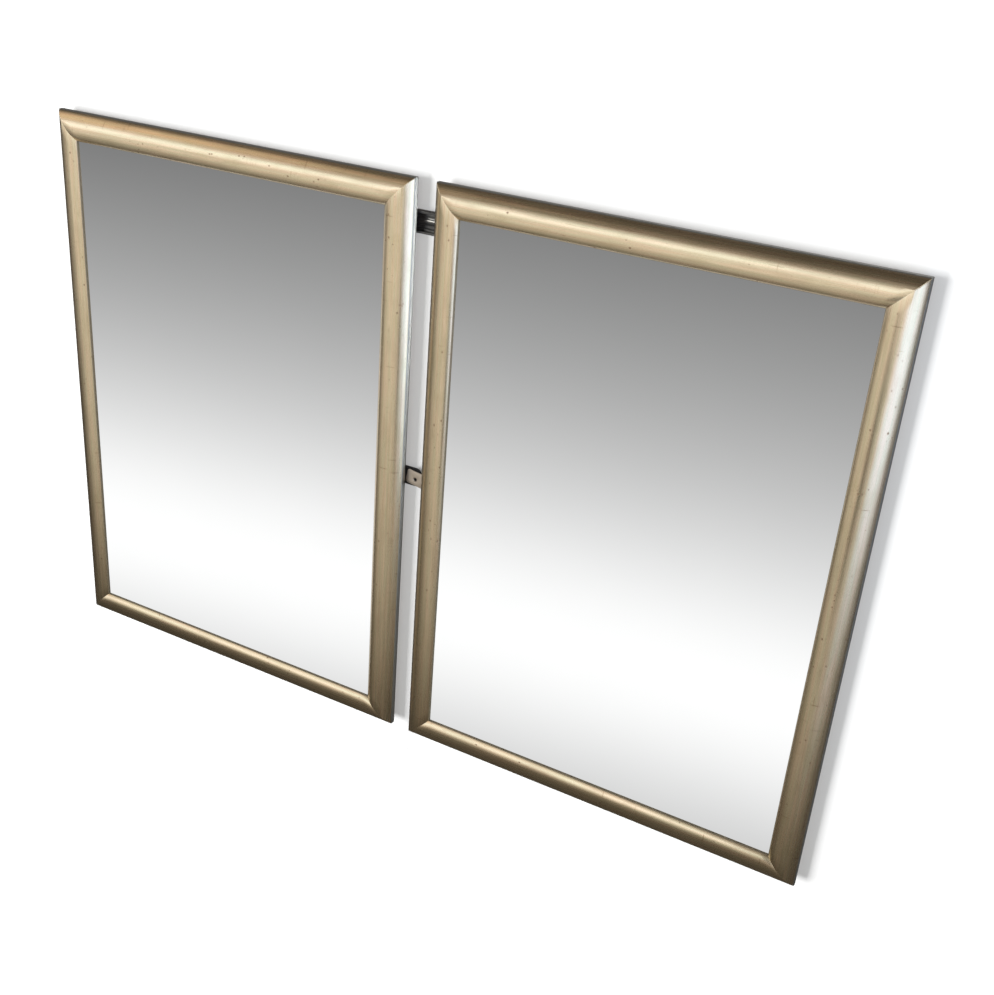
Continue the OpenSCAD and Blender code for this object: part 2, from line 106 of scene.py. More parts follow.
class Shop:
    """A node tree that its nodes are made in."""

    def __init__(self, tree):
        self.tree = tree

    def make(self, kind, out=0, stops=None, **parts):
        """Makes a node: settings come first, then inputs, which are named in_NAME or in_INDEX."""
        node = self.tree.nodes.new(kind)
        inputs = {key[3:]: value for key, value in parts.items() if key.startswith("in_")}
        for key, value in parts.items():
            if not key.startswith("in_"):
                setattr(node, key, value)
        if stops:
            ramp = node.color_ramp
            while len(ramp.elements) < len(stops):
                ramp.elements.new(1)
            for element, (place, colour) in zip(ramp.elements, stops):
                element.position = place
                element.color = colour if len(colour) == 4 else (*colour, 1)
        for key, value in inputs.items():
            self.feed(node, int(key) if key.isdigit() else key.replace("_", " "), value)
        return Wire(self, node, out) if node.outputs else None

    def feed(self, node, key, value):
        """Sets one input of a node, or links a wire to it."""
        socket = node.inputs[key]
        if isinstance(value, Wire):
            self.tree.links.new(value.socket, socket)
        elif value is not None:
            socket.default_value = value

    def math(self, operation, *values):
        inputs = {f"in_{i}": value for i, value in enumerate(values)}
        return self.make("ShaderNodeMath", operation=operation, **inputs)

    def split(self, vector):
        """A vector's or a colour's three parts, by .out("X"), "Y" and "Z"."""
        return self.make("ShaderNodeSeparateXYZ", in_Vector=vector)


class Wire:
    """One output of a node, with arithmetic that adds Math nodes."""

    def __init__(self, shop, node, out):
        self.shop, self.node = shop, node
        self.socket = node.outputs[out]

    def out(self, name):
        return Wire(self.shop, self.node, name)

    def __add__(self, other):
        return self.shop.math("ADD", self, other)

    def __radd__(self, other):
        return self.shop.math("ADD", other, self)

    def __sub__(self, other):
        return self.shop.math("SUBTRACT", self, other)

    def __rsub__(self, other):
        return self.shop.math("SUBTRACT", other, self)

    def __mul__(self, other):
        return self.shop.math("MULTIPLY", self, other)

    def __rmul__(self, other):
        return self.shop.math("MULTIPLY", other, self)

    def __truediv__(self, other):
        return self.shop.math("DIVIDE", self, other)

    def __gt__(self, other):
        return self.shop.math("GREATER_THAN", self, other)

    def __lt__(self, other):
        return self.shop.math("LESS_THAN", self, other)

    def clamp(self):
        return self.shop.make("ShaderNodeClamp", in_Value=self)

    def between(self, low, high, smooth=True):
        """0 at low and below, 1 at high and above; low may be the larger one."""
        kind = "SMOOTHSTEP" if smooth else "LINEAR"
        return self.shop.make("ShaderNodeMapRange", interpolation_type=kind, in_Value=self,
                              in_1=low, in_2=high)


class Finish(Shop):
    """A surface material with a Principled shader."""

    def __init__(self, name):
        self.material = bpy.data.materials.new(name)
        self.material.use_nodes = True
        super().__init__(self.material.node_tree)
        self.shader = self.tree.nodes["Principled BSDF"]

    def set(self, **sockets):
        for name, value in sockets.items():
            self.feed(self.shader, name.replace("_", " "), value)
        return self.material

    def place(self, scale=(1, 1, 1)):
        """Object coordinates, stretched."""
        at = self.make("ShaderNodeTexCoord").out("Object")
        return self.make("ShaderNodeMapping", in_Vector=at, in_Scale=scale)

    def run(self, along, across):
        """The piece's own UV map in metres, scaled along its length and across it."""
        at = self.make("ShaderNodeTexCoord").out("UV")
        return self.make("ShaderNodeMapping", in_Vector=at, in_Scale=(along, across, 1))

    def noise(self, at, scale=1.0, detail=3.0, rough=0.5, distort=0.0):
        return self.make("ShaderNodeTexNoise", in_Vector=at, in_Scale=scale, in_Detail=detail,
                         in_Roughness=rough, in_Distortion=distort)

    def cells(self, at):
        """Distance from the nearest of the points scattered one to a unit."""
        return self.make("ShaderNodeTexVoronoi", in_Vector=at, in_Scale=1.0)

    def mix(self, factor, a, b):
        """Colour a where factor is 0 and b where it is 1."""
        node = self.make("ShaderNodeMix", data_type="RGBA")
        for index, value in ((0, factor), (6, a), (7, b)):
            if isinstance(value, tuple) and len(value) == 3:
                value = (*value, 1)
            self.feed(node.node, index, value)
        return Wire(self, node.node, 2)

    def bump(self, height, depth, strength=1.0):
        """A normal from a height of 0 to 1 that stands for depth metres."""
        return self.make("ShaderNodeBump", in_Height=height, in_Distance=depth,
                         in_Strength=strength)


# ---- finishes ----

def leaf_tone(f, streak, cloud):
    """Pale gold in lengthwise streaks, with olive, rose and brown laps."""
    hue = f.noise(f.run(8, 150), 1, 3, 0.6)
    patch = f.noise(f.run(16, 40), 1, 2, 0.5)
    tone = f.mix(streak, (0.55, 0.44, 0.305), (0.70, 0.57, 0.405))
    tone = f.mix(hue.between(0.46, 0.60) * 0.45, tone, (0.56, 0.51, 0.35))
    tone = f.mix(hue.between(0.50, 0.38) * 0.35, tone, (0.68, 0.50, 0.36))
    tone = f.mix(patch.between(0.5, 0.7) * 0.3, tone, (0.50, 0.42, 0.26))
    return f.mix(cloud.between(0.45, 0.75) * 0.35, tone, (0.44, 0.34, 0.225))


def leaf_wear(f):
    """Round specks, short nicks across the length and fine lengthwise cracks, each 0 to 1."""
    pick = f.noise(f.run(21, 33), 1, 2, 0.5)
    speck = f.cells(f.run(75, 90)).between(0.20, 0.09) * pick.between(0.50, 0.60)
    group = f.noise(f.run(17, 24), 1, 2, 0.5)
    tick = f.noise(f.run(620, 45), 1, 2, 0.5)
    nick = f.cells(f.run(150, 15))
    chosen = f.split(nick.out("Color")).out("X")
    hair = f.math("MAXIMUM", tick.between(0.60, 0.66) * group.between(0.60, 0.68),
                  nick.between(0.17, 0.08) * chosen.between(0.55, 0.8) * 1.5)
    wave = f.noise(f.run(30, 620), 1, 1, 0.4, 0.4)
    crack = wave.between(0.66, 0.70) * group.between(0.45, 0.36)
    return speck, hair, crack


def gilt():
    """Toned metal leaf on the moulding, darker at the sight edge (a dark finish with painted shade
    of the shadow line there), grey on the outer wall with painted shade where it meets the wall
    behind, and left off the back."""
    f = Finish("gilt_leaf")
    fine = f.noise(f.run(9, 1500), 1, 4, 0.6)
    broad = f.noise(f.run(2.5, 260), 1, 3, 0.5)
    cloud = f.noise(f.run(14, 60), 1, 3, 0.6)
    streak = (fine * 0.55 + broad * 0.45).between(0.36, 0.66)
    speck, hair, crack = leaf_wear(f)
    tone = leaf_tone(f, streak, cloud)
    tone = f.mix(speck * 0.75, tone, (0.20, 0.10, 0.055))
    tone = f.mix(hair * 0.42, tone, (0.28, 0.18, 0.10))
    tone = f.mix(crack * 0.5, tone, (0.33, 0.25, 0.15))
    across = f.split(f.run(1, 1)).out("Y")
    # Sight edge: a darker, duller finish that also carries painted shade of the shadow line there
    dark_lip_and_shade = across.between(LIP_AT + 0.0019, LIP_AT + 0.0009)
    edge = across.between(EDGE_AT - 0.0016, EDGE_AT + 0.0002)
    # Back strip of the outer wall, next to the wall: darkened as painted shade
    back_edge_and_shade = across.between(SEAT_AT, SEAT_AT + 0.0014)
    bare = f.split(f.place()).out("Y").between(BACK_Y - 0.0004, BACK_Y - 0.0001)
    wood = f.mix(streak, (0.36, 0.24, 0.14), (0.50, 0.36, 0.23))
    # Painted shade along the sight edge, over its darker finish
    tone = f.mix(dark_lip_and_shade * 0.75, tone, (0.12, 0.10, 0.065))
    tone = f.mix(edge, tone, (0.42, 0.42, 0.40))
    # Painted shade of the narrow space behind the leaf, over an edge left darker
    tone = f.mix(back_edge_and_shade * 0.8, tone, (0.13, 0.12, 0.105))
    tone = f.mix(bare, tone, wood)
    rough = 0.21 + streak * 0.06 + cloud * 0.08 + speck * 0.2 + dark_lip_and_shade * 0.2
    height = fine * 0.6 + broad * 0.3 - speck * 0.8 - hair * 0.5
    gilded = 1 - bare
    return f.set(Base_Color=tone, Metallic=0.97 * gilded * (1 - dark_lip_and_shade * 0.7),
                 Roughness=rough + edge * 0.12 + bare * 0.3,
                 Coat_Weight=0.25 * gilded * (1 - dark_lip_and_shade), Coat_Roughness=0.22,
                 Normal=f.bump(height * (1 - edge), 0.00012, 0.5))


def silvering():
    """Silvered glass: a clean reflection with the faintest unevenness."""
    f = Finish("silvered_glass")
    haze = f.noise(f.place((6, 6, 6)), 1, 3, 0.6)
    return f.set(Base_Color=f.mix(haze, (0.955, 0.96, 0.958), (0.975, 0.978, 0.976)), Metallic=1.0,
                 Roughness=0.0)


def plain_metal(name, light, dark, metallic, rough, grain=900.0, depth=0.00003, **more):
    """Metal or paint with a fine grain."""
    f = Finish(name)
    grit = f.noise(f.place((grain, grain, grain)), 1, 3, 0.6)
    wide = f.noise(f.place((25, 25, 25)), 1, 3, 0.5)
    tone = f.mix(wide.between(0.3, 0.7), dark, light)
    return f.set(Base_Color=tone, Metallic=metallic, Roughness=rough + wide * 0.1 + grit * 0.05,
                 Normal=f.bump(grit, depth, 0.4), **more)


def hardboard():
    """Pressed board, fibrous and faintly blotched."""
    f = Finish("hardboard")
    fibre = f.noise(f.place((420, 420, 420)), 1, 4, 0.65)
    wide = f.noise(f.place((9, 9, 9)), 1, 3, 0.5)
    tone = f.mix(fibre, (0.16, 0.085, 0.04), (0.34, 0.205, 0.11))
    tone = f.mix(wide * 0.35, tone, (0.22, 0.13, 0.07))
    return f.set(Base_Color=tone, Roughness=0.78 + fibre * 0.15, Normal=f.bump(fibre, 0.0003, 0.6))


def beech():
    f = Finish("beech")
    grain = f.noise(f.place((260, 260, 9)), 1, 4, 0.6, 0.6)
    fleck = f.noise(f.place((900, 900, 60)), 1, 2, 0.5)
    tone = f.mix(grain, (0.46, 0.27, 0.14), (0.62, 0.41, 0.23))
    tone = f.mix(fleck.between(0.62, 0.7) * 0.5, tone, (0.33, 0.17, 0.08))
    return f.set(Base_Color=tone, Roughness=0.5 + grain * 0.15, Normal=f.bump(grain, 0.0002, 0.5))


def felt():
    f = Finish("felt")
    hair = f.noise(f.place((1500, 1500, 1500)), 1, 4, 0.7)
    wide = f.noise(f.place((180, 180, 180)), 1, 2, 0.5)
    tone = f.mix(hair, (0.03, 0.029, 0.028), (0.10, 0.097, 0.09))
    return f.set(Base_Color=f.mix(wide * 0.5, tone, (0.05, 0.048, 0.045)), Roughness=0.95,
                 Sheen_Weight=0.3, Normal=f.bump(hair, 0.0005, 0.8))


FINISHES = {
    "gilt_wood": gilt(),
    "silvered_glass": silvering(),
    "hardboard": hardboard(),
    "beech": beech(),
    "felt": felt(),
    "black_steel": plain_metal("black_steel", (0.022, 0.022, 0.023), (0.014, 0.014, 0.015),
                               0.0, 0.09, depth=0.000003),
    "black_rubber": plain_metal("black_rubber", (0.02, 0.02, 0.02), (0.012, 0.012, 0.012),
                                0.0, 0.7),
    "black_plastic": plain_metal("black_plastic", (0.016, 0.016, 0.017), (0.01, 0.01, 0.011),
                                 0.0, 0.5, Specular_IOR_Level=0.25),
    "magnet_steel": plain_metal("magnet_steel", (0.62, 0.62, 0.63), (0.5, 0.5, 0.52), 1.0, 0.25),
    "satin_plate": plain_metal("satin_plate", (0.60, 0.52, 0.45), (0.50, 0.43, 0.37), 1.0, 0.34),
    "ball_steel": plain_metal("ball_steel", (0.66, 0.66, 0.67), (0.6, 0.6, 0.61), 1.0, 0.12),
    "cage_steel": plain_metal("cage_steel", (0.5, 0.5, 0.51), (0.4, 0.4, 0.42), 1.0, 0.35),
    "zinc_steel": plain_metal("zinc_steel", (0.62, 0.63, 0.64), (0.48, 0.49, 0.52), 1.0, 0.32),
}


def slot_of(node):
    """The record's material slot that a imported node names."""
    return NODES[node].data.materials[0].name.split(".")[0]


SLOTS = {name: slot_of(name) for name in NODES}


def body_of(node):
    return NODES[node]["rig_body"]


for name, node in NODES.items():
    node.data.materials.clear()
    node.data.materials.append(FINISHES[SLOTS[name]])


# ---- pieces ----

def piece(mesh, name, *nodes):
    """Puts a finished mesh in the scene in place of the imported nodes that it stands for."""
    made = bpy.data.objects.new(name, mesh)
    bpy.context.scene.collection.objects.link(made)
    if not mesh.materials:
        mesh.materials.append(FINISHES[SLOTS[nodes[0]]])
    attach(made, body_of(nodes[0]))
    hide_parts(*nodes)
    return made


def arc(centre, radius, start, end, steps):
    """Points on an arc, with its angles in degrees from the first axis."""
    turn = [math.radians(start + (end - start) * i / steps) for i in range(steps + 1)]
    return [(centre[0] + radius * math.cos(a), centre[1] + radius * math.sin(a)) for a in turn]


def filleted(points, radii, steps=4):
    """A closed outline whose corners are rounded, by the radius given for each corner's index."""
    made = []
    for i, point in enumerate(points):
        radius = radii.get(i, 0)
        if not radius:
            made.append(point)
            continue
        corner = Vector(point)
        before = (Vector(points[i - 1]) - corner).normalized()
        after = (Vector(points[(i + 1) % len(points)]) - corner).normalized()
        half = before.angle(after) / 2
        centre = corner + (before + after).normalized() * (radius / math.sin(half))
        first = (corner + before * (radius / math.tan(half)) - centre).normalized()
        last = (corner + after * (radius / math.tan(half)) - centre).normalized()
        made += [tuple(centre + first.slerp(last, k / steps) * radius) for k in range(steps + 1)]
    return made


def outline_mesh(points):
    """A closed wire through points in a section's own plane."""
    mesh = bpy.data.meshes.new("section")
    edges = [(i, (i + 1) % len(points)) for i in range(len(points))]
    mesh.from_pydata([(x, y, 0) for x, y in points], edges, [])
    return mesh


def group(name, **inputs):
    """A new geometry tree with named inputs: a default value gives each its kind."""
    tree = bpy.data.node_groups.new(name, "GeometryNodeTree")
    face = tree.interface
    face.new_socket("Geometry", in_out="INPUT", socket_type="NodeSocketGeometry")
    kinds = {float: "NodeSocketFloat", int: "NodeSocketInt"}
    for key, value in inputs.items():
        kind = kinds.get(type(value), "NodeSocketMaterial")
        made = face.new_socket(key.replace("_", " "), in_out="INPUT", socket_type=kind)
        if kind != "NodeSocketMaterial":
            made.default_value = value
    face.new_socket("Geometry", in_out="OUTPUT", socket_type="NodeSocketGeometry")
    shop = Shop(tree)
    given = shop.make("NodeGroupInput")
    return tree, shop, given


def grown(tree, start, **values):
    """The plain mesh that a geometry tree makes from a start mesh."""
    holder = bpy.data.objects.new(tree.name, start)
    bpy.context.scene.collection.objects.link(holder)
    run = holder.modifiers.new(tree.name, "NODES")
    run.node_group = tree
    keys = {row.name: row.identifier for row in tree.interface.items_tree
            if row.in_out == "INPUT"}
    for key, value in values.items():
        run[keys[key.replace("_", " ")]] = value
    depsgraph = bpy.context.evaluated_depsgraph_get()
    mesh = bpy.data.meshes.new_from_object(holder.evaluated_get(depsgraph))
    holder.modifiers.remove(run)
    bpy.data.objects.remove(holder)
    return mesh


def swept_tree():
    """Sweeps a section along Z: each end is cut square (Mitre 0) or as a mitre (Mitre 1)."""
    tree, shop, given = group("swept_length", Length=1.0, Mitre=0.0, Rings=40, Groove=0.0,
                              Groove_Length=0.0, Run_Start=0.0, Finish=None)
    store = "GeometryNodeStoreNamedAttribute"
    read = "GeometryNodeInputNamedAttribute"
    section = shop.make("GeometryNodeMeshToCurve", in_Mesh=given.out("Geometry"))
    here = shop.make("GeometryNodeInputPosition")
    section = shop.make(store, in_Geometry=section, in_Name="section", in_Value=here,
                        data_type="FLOAT_VECTOR", domain="POINT")
    across = shop.make("GeometryNodeSplineParameter").out("Length")
    section = shop.make(store, in_Geometry=section, in_Name="across", in_Value=across,
                        data_type="FLOAT", domain="POINT")
    rail = shop.make("GeometryNodeCurvePrimitiveLine", in_Start=(0, 0, 0), in_End=(0, 0, 1))
    rail = shop.make("GeometryNodeResampleCurve", in_Curve=rail, in_Count=given.out("Rings"))
    ring = shop.make("GeometryNodeSplineParameter").out("Index")
    rail = shop.make(store, in_Geometry=rail, in_Name="ring", in_Value=ring,
                     data_type="INT", domain="POINT")
    body = shop.make("GeometryNodeCurveToMesh", in_Curve=rail, in_Profile_Curve=section,
                     in_Fill_Caps=True)
    place = shop.split(shop.make(read, data_type="FLOAT_VECTOR",
                                 in_Name="section").out("Attribute"))
    ring = shop.make(read, data_type="INT", in_Name="ring").out("Attribute")
    last = given.out("Rings") - 1
    end = (ring > last - 0.5) - (ring < 0.5)
    share = ((ring - 1) / (last - 2)).clamp()
    inset = 1 - shop.math("ABSOLUTE", end) * given.out("Groove")
    x, h = place.out("X") * inset, place.out("Y") * inset
    span = given.out("Length") + 2 * place.out("X") * given.out("Mitre")
    groove = given.out("Groove Length")
    z = (share - 0.5) * (span - 2 * groove) + end * groove
    moved = shop.make("ShaderNodeCombineXYZ", in_X=x, in_Y=-1 * h, in_Z=z)
    body = shop.make("GeometryNodeSetPosition", in_Geometry=body, in_Position=moved)
    across = shop.make(read, data_type="FLOAT", in_Name="across").out("Attribute")
    run = shop.make("ShaderNodeCombineXYZ", in_X=z + given.out("Run Start"), in_Y=across)
    body = shop.make(store, in_Geometry=body, in_Name="UVMap", in_Value=run,
                     data_type="FLOAT2", domain="CORNER")
    body = shop.make("GeometryNodeSetShadeSmooth", in_Geometry=body)
    body = shop.make("GeometryNodeRealizeInstances", in_Geometry=body)
    body = shop.make("GeometryNodeSetMaterial", in_Geometry=body, in_Material=given.out("Finish"))
    shop.make("NodeGroupOutput", in_0=body)
    return tree


SWEPT = swept_tree()


def moulding_section():
    """Section of the moulding: distance from the sight edge, height above its back."""
    roll = arc((CREST_IN, CREST_H - ROLL_R), ROLL_R, 90 + ROLL_TURN, 90, 18)
    sweep = arc((CREST_IN, CREST_H - SWEEP_R), SWEEP_R, 90, 90 - SWEEP_TURN, 26)
    points = [(REBATE_W, 0), (REBATE_W, REBATE_D), (0, REBATE_D), *roll, *sweep[1:], (FACE_W, 0)]
    radii = {0: 0.0005, 2: LIP_R, 3: LIP_R, len(points) - 2: ARRIS_R, len(points) - 1: 0.0008}
    return filleted(points, radii)


def sharpened(mesh, angle=32):
    mesh.shade_smooth()
    mesh.set_sharp_from_angle(angle=math.radians(angle))
    return mesh


def turned(about_y, at):
    return Matrix.Translation(at) @ Matrix.Rotation(math.radians(about_y), 4, "Y")


def mouldings(side):
    """The four mitred lengths of one leaf."""
    inner_low, inner_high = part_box(f"{side}_inner_stile")
    outer_low, outer_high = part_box(f"{side}_outer_stile")
    low = Vector(map(min, inner_low, outer_low))
    high = Vector(map(max, inner_high, outer_high))
    middle = (low + high) / 2
    back = high.y
    sight = (high.x - low.x - 2 * FACE_W, high.z - low.z - 2 * FACE_W)
    stiles = (f"{side}_outer_stile", f"{side}_inner_stile")
    plus_x, minus_x = stiles if side == "right" else stiles[::-1]
    rows = [
        (plus_x, sight[1], 0, (high.x - FACE_W, back, middle.z)),
        (minus_x, sight[1], 180, (low.x + FACE_W, back, middle.z)),
        (f"{side}_top_rail", sight[0], -90, (middle.x, back, high.z - FACE_W)),
        (f"{side}_bottom_rail", sight[0], 90, (middle.x, back, low.z + FACE_W)),
    ]
    for i, (node, length, turn, at) in enumerate(rows):
        start = RUN_STEP * i + (RUN_RIGHT if side == "right" else 0)
        mesh = grown(SWEPT, outline_mesh(moulding_section()), Length=length, Mitre=1.0,
                     Rings=RINGS, Groove=GROOVE, Groove_Length=GROOVE_LEN, Run_Start=start,
                     Finish=FINISHES["gilt_wood"])
        mesh.transform(turned(turn, at))
        piece(sharpened(mesh), f"{node}_moulding", node)


def eased(node, width, segments=2):
    """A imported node's mesh with its hard edges rounded off."""
    made = bmesh.new()
    made.from_mesh(NODES[node].data)
    bmesh.ops.remove_doubles(made, verts=made.verts, dist=1e-6)
    bmesh.ops.dissolve_limit(made, angle_limit=math.radians(1), verts=made.verts,
                             edges=made.edges)
    hard = [edge for edge in made.edges if edge.calc_face_angle(0) > math.radians(HARD)]
    for face in made.faces:
        face.smooth = any(1 < math.degrees(edge.calc_face_angle(0)) < HARD for edge in face.edges)
    bevel = bmesh.ops.bevel(made, geom=hard, offset=width, offset_type="OFFSET",
                            segments=segments, profile=0.5, affect="EDGES", clamp_overlap=True)
    for face in bevel["faces"]:
        face.smooth = True
    bmesh.ops.remove_doubles(made, verts=made.verts, dist=1e-6)
    mesh = bpy.data.meshes.new(f"{node}_eased")
    made.to_mesh(mesh)
    made.free()
    mesh.set_sharp_from_angle(angle=math.radians(40))
    piece(mesh, f"{node}_eased", node)


def row_tree():
    """Repeats a mesh along X, centred on its start place."""
    tree, shop, given = group("row", Count=1, Step=0.0, Finish=None)
    rail = shop.make("GeometryNodeMeshLine", mode="OFFSET", in_Count=given.out("Count"),
                     in_Offset=shop.make("ShaderNodeCombineXYZ", in_X=given.out("Step")))
    half = given.out("Step") * (given.out("Count") - 1) / 2
    rail = shop.make("GeometryNodeTransform", in_Geometry=rail,
                     in_Translation=shop.make("ShaderNodeCombineXYZ", in_X=-1 * half))
    body = shop.make("GeometryNodeInstanceOnPoints", in_Points=rail,
                     in_Instance=given.out("Geometry"))
    body = shop.make("GeometryNodeRealizeInstances", in_Geometry=body)
    body = shop.make("GeometryNodeSetMaterial", in_Geometry=body, in_Material=given.out("Finish"))
    shop.make("NodeGroupOutput", in_0=body)
    return tree


ROW = row_tree()


def balls(node):
    """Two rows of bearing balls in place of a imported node's."""
    low, high = map(Vector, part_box(node))
    size = high.y - low.y
    made = bmesh.new()
    for z in (low.z + size / 2, high.z - size / 2):
        middle = Matrix.Translation(((low.x + high.x) / 2, (low.y + high.y) / 2, z))
        bmesh.ops.create_uvsphere(made, u_segments=20, v_segments=12, radius=size / 2,
                                  matrix=middle)
    start = bpy.data.meshes.new("ball_pair")
    made.to_mesh(start)
    made.free()
    mesh = grown(ROW, start, Count=BALL_COUNT, Step=(high.x - low.x - size) / (BALL_COUNT - 1),
                 Finish=FINISHES[SLOTS[node]])
    mesh.shade_smooth()
    piece(mesh, f"{node}_round", node)


for side in ("left", "right"):
    mouldings(side)
    balls(f"{side}_outer_balls")
    balls(f"{side}_inner_balls")
    for part in ("runner", "middle_member", "outer_cage", "inner_cage"):
        eased(f"{side}_{part}", 0.0002)
    eased(f"{side}_spacer_blocks", 0.001, 3)
    eased(f"{side}_felt_pads", 0.0008, 3)

eased("track_channel", 0.0005, 3)
eased("centre_stops", 0.0006)
eased("keeper_plate", 0.0004, 3)
eased("magnet_holder", 0.0008, 3)
eased("holder_packing", 0.0005)
eased("magnet", 0.0003)

# ---- stage ----

WALL_Y = 0.0005
FLOOR_Z = -1.10
REACH = 12.0
# How bright the floor shows in the mirrors, as a ratio of two polynomials of its distance from
# the wall in metres: brightest 0.6 m out, then fading nearly as one over the distance
MIRROR_RISE = (0.60, 0.376, 1.046)
MIRROR_FALL = (1.0, -0.711, 1.048, 0.90)
MIRROR_REACH = 5.5       # it stays the same beyond
# The floor's colour by distance for soft reflections and bounced light
FLOOR_IN_GILT = [(0.0, (0.035, 0.028, 0.020)), (0.09, (0.068, 0.057, 0.040)),
                 (0.2, (0.145, 0.126, 0.094)), (0.46, (0.32, 0.295, 0.245)),
                 (0.75, (0.515, 0.49, 0.43)), (1.3, (0.66, 0.645, 0.575)),
                 (2.0, (0.78, 0.76, 0.68)), (3.0, (0.92, 0.90, 0.82)), (5.0, (1.08, 1.06, 0.98))]
# The cool light that the right-facing sides see, by squared distance in metres
COOL_IN_GILT = [(0.2, (0.20, 0.20, 0.22)), (1.0, (0.52, 0.58, 0.70)), (2.2, (0.70, 0.82, 1.03)),
                (3.5, (0.95, 1.13, 1.47)), (5.5, (1.35, 1.66, 2.28)), (14.0, (1.7, 2.15, 3.0))]
SHADE_REACH = 6.0        # distance at which the floor's table ends
COOL_REACH = 16.0        # the same for the cool light, squared
WALL_GLOW = 0.34
# Lower glow of the wall in a strip of the gap, which paints shadow there
GAP_SHADOW_GLOW = 0.2
WALL_ALBEDO = 0.3
FLOOR_ALBEDO = 0.6
LEAVES_TOP = 0.05        # height at which the wall is at its brightest in the gilt
LEAVES_END = 0.83        # just past the leaves' outer sides


def paper(name, glow, albedo):
    """Stage paper, one-sided and open to shadow rays. Glow is its own light by kind of ray."""
    material = bpy.data.materials.new(name)
    material.use_nodes = True
    shop = Shop(material.node_tree)
    shop.tree.nodes.clear()
    path = shop.make("ShaderNodeLightPath")
    back = shop.make("ShaderNodeNewGeometry").out("Backfacing")
    light = shop.make("ShaderNodeEmission", in_Color=glow(shop, path), in_Strength=1.0)
    matt = shop.make("ShaderNodeBsdfDiffuse", in_Color=grey(albedo))
    front = shop.make("ShaderNodeAddShader", in_0=light, in_1=matt)
    camera = path.out("Is Camera Ray")
    seen = shop.make("ShaderNodeMixShader", in_0=camera, in_1=light, in_2=front)
    clear = shop.make("ShaderNodeBsdfTransparent")
    hidden = shop.math("MAXIMUM", back, path.out("Is Shadow Ray"))
    both = shop.make("ShaderNodeMixShader", in_0=hidden, in_1=seen, in_2=clear)
    shop.make("ShaderNodeOutputMaterial", in_Surface=both)
    return material


def coordinates(shop):
    return shop.split(shop.make("ShaderNodeTexCoord").out("Object"))


def grey(value):
    return (value, value, value, 1)


def blend(shop, factor, a, b):
    """Colour a where factor is 0 and b where it is 1."""
    return shop.make("ShaderNodeMix", out=2, data_type="RGBA", in_0=factor, in_6=a, in_7=b)


def wall_glow(shop, path):
    """For the camera even, but darker in a strip of the gap as painted shadow and white far to the
    sides;
    for the mouldings dim, and dimmer at the foot."""
    at = coordinates(shop)
    x, z = at.out("X"), at.out("Z")
    height = z.between(FLOOR_Z, LEAVES_TOP, smooth=False)
    soft = blend(shop, height, (0.05, 0.043, 0.033, 1), (0.12, 0.11, 0.10, 1))
    soft = blend(shop, x.between(-LEAVES_END, -LEAVES_END - 0.12) * 0.5, soft, (0, 0, 0, 1))
    beside = blend(shop, height, (0.045, 0.053, 0.062, 1), (0.11, 0.135, 0.18, 1))
    soft = blend(shop, x.between(LEAVES_END, LEAVES_END + 0.07), soft, beside)
    # Painted shadow: a strip of the gap shows darker to the camera
    gap = x.between(-0.008, 0.003) * x.between(0.02, 0.01) * z.between(0.08, 0.04)
    plain = blend(shop, gap, grey(WALL_GLOW), grey(GAP_SHADOW_GLOW))
    plain = blend(shop, shop.math("ABSOLUTE", x).between(2.0, 5.0), plain, grey(1.0))
    return blend(shop, path.out("Is Camera Ray"), soft, plain)


def shaded(shop, value, table, reach):
    """A colour looked up by a value of 0 to reach."""
    stops = [(place / reach, colour) for place, colour in table]
    return shop.make("ShaderNodeValToRGB", stops=stops, in_Fac=value / reach)


def polynomial(value, terms):
    """A polynomial of a wire; its constant term comes first."""
    made = terms[-1]
    for term in terms[-2::-1]:
        made = made * value + term
    return made


def floor_glow(shop, path):
    """White for the camera, and its own shading for the mirrors and for the mouldings."""
    at = coordinates(shop)
    away = -1 * at.out("Y")
    side = (at.out("X") - 0.35 - 0.42 * away) / (0.2 + 0.18 * away)
    pool = side.between(0.3, 1.9) * away.between(0.1, 1.4)
    left = (-1 * at.out("X") - 1.2 * away).between(-0.5, 1.5)
    offset = at.out("X") - 0.4
    cool = shaded(shop, away * away + offset * offset, COOL_IN_GILT, COOL_REACH)
    soft = blend(shop, pool, shaded(shop, away, FLOOR_IN_GILT, SHADE_REACH), cool)
    soft = blend(shop, left * 0.45, soft, (0, 0, 0, 1))
    reach = shop.math("MAXIMUM", away - 0.125 * at.out("X"), 0.0)
    reach = shop.math("MINIMUM", reach, MIRROR_REACH)
    mirrored = polynomial(reach, MIRROR_RISE) / polynomial(reach, MIRROR_FALL)
    bounced = blend(shop, path.out("Is Singular Ray"), soft, mirrored)
    return blend(shop, path.out("Is Camera Ray"), bounced, grey(0.9))


def plane(name, corners, material):
    mesh = bpy.data.meshes.new(name)
    mesh.from_pydata(corners, [], [(0, 1, 2, 3)])
    mesh.materials.append(material)
    made = bpy.data.objects.new(name, mesh)
    bpy.context.scene.collection.objects.link(made)
    return made


wall = plane("wall_paper", [(-REACH, WALL_Y, FLOOR_Z), (REACH, WALL_Y, FLOOR_Z),
                            (REACH, WALL_Y, REACH), (-REACH, WALL_Y, REACH)],
             paper("wall_paper", wall_glow, WALL_ALBEDO))
floor = plane("floor_paper", [(-REACH, -REACH, FLOOR_Z), (REACH, -REACH, FLOOR_Z),
                              (REACH, WALL_Y, FLOOR_Z), (-REACH, WALL_Y, FLOOR_Z)],
              paper("floor_paper", floor_glow, FLOOR_ALBEDO))


